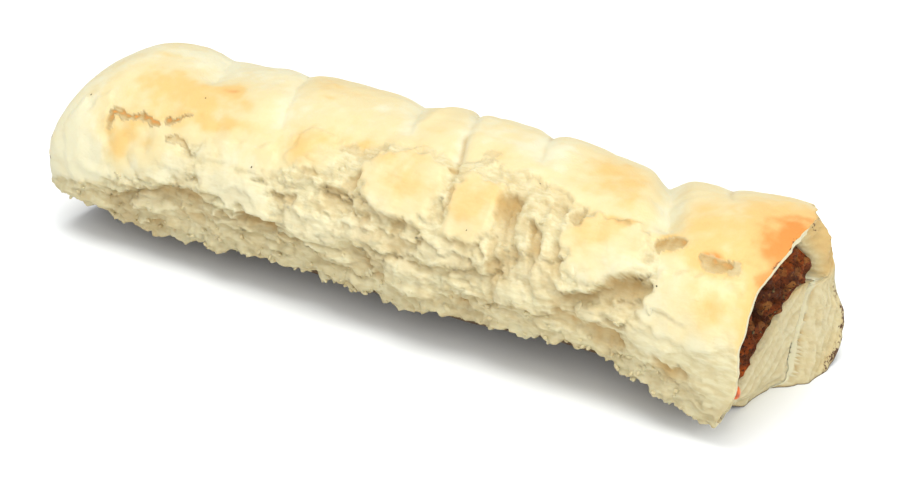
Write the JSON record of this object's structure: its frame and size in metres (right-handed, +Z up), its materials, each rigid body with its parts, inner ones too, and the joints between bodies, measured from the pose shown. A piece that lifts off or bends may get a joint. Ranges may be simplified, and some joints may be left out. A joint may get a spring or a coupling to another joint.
{
  "type": "sausage roll",
  "caption": "Long baked roll of flaky pastry with torn, layered sides, open at the ends round a sausage-meat filling.",
  "frame": {"origin": "under the middle of the roll, on the surface it lies on", "axes": "+X along the roll toward its open mouth, +Z up, -Y toward the torn side that the picture shows"},
  "size_m": [0.1634, 0.0484, 0.0379],
  "materials": {
    "pastry": "baked puff pastry: pale cream torn layers under a golden top",
    "filling": "coarse cooked sausage meat, dark brown and a little moist"
  },
  "bodies": {
    "root": {"pastry": "pastry", "filling": "filling"}
  },
  "joints": []
}
